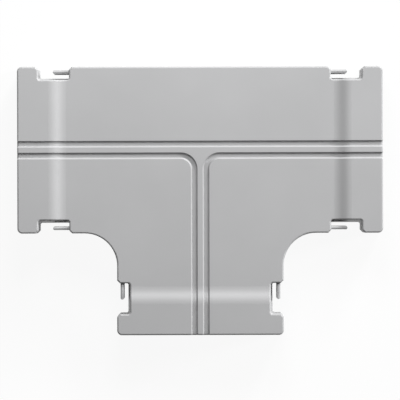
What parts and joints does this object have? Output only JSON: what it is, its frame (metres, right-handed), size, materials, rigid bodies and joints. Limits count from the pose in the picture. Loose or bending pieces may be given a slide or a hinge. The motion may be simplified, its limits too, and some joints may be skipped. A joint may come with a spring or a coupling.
{
  "type": "trunking tee fitting",
  "caption": "Moulded plastic tee cover for surface trunking, with raised end collars, rounded inside corners, side pockets with snap fingers and a grooved spine.",
  "frame": {"origin": "where the centrelines of the arms and the leg cross, on the wall plane at the back rim", "axes": "+X along the arms, -Y down the leg, +Z out of the wall towards the front"},
  "size_m": [0.305, 0.224, 0.05],
  "materials": {
    "moulded_plastic": "satin"
  },
  "bodies": {
    "root": {"tee_cover": "moulded_plastic"}
  },
  "joints": []
}
